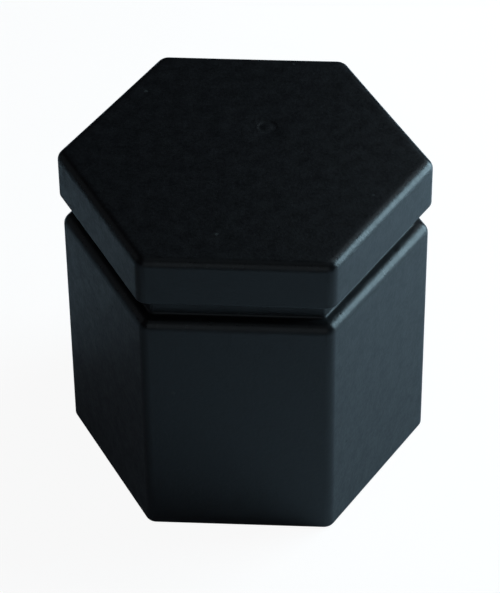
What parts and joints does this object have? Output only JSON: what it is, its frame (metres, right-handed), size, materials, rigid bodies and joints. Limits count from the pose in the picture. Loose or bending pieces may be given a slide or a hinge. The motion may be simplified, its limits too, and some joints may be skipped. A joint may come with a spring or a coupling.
{
  "type": "wheel nut cover cap",
  "caption": "Hexagonal push-on cap with a flat head, a pulling groove below it and a plain open body that covers a wheel nut.",
  "frame": {"origin": "centre of the open rim, in the rim's plane", "axes": "+Z along the socket, from the open rim to the closed head; +X through a corner of the hexagon, +Y square to a flat"},
  "size_m": [0.0228, 0.02, 0.022],
  "materials": {
    "black_plastic": "satin, finely textured"
  },
  "bodies": {
    "root": {"nut_cap": "black_plastic"}
  },
  "joints": []
}
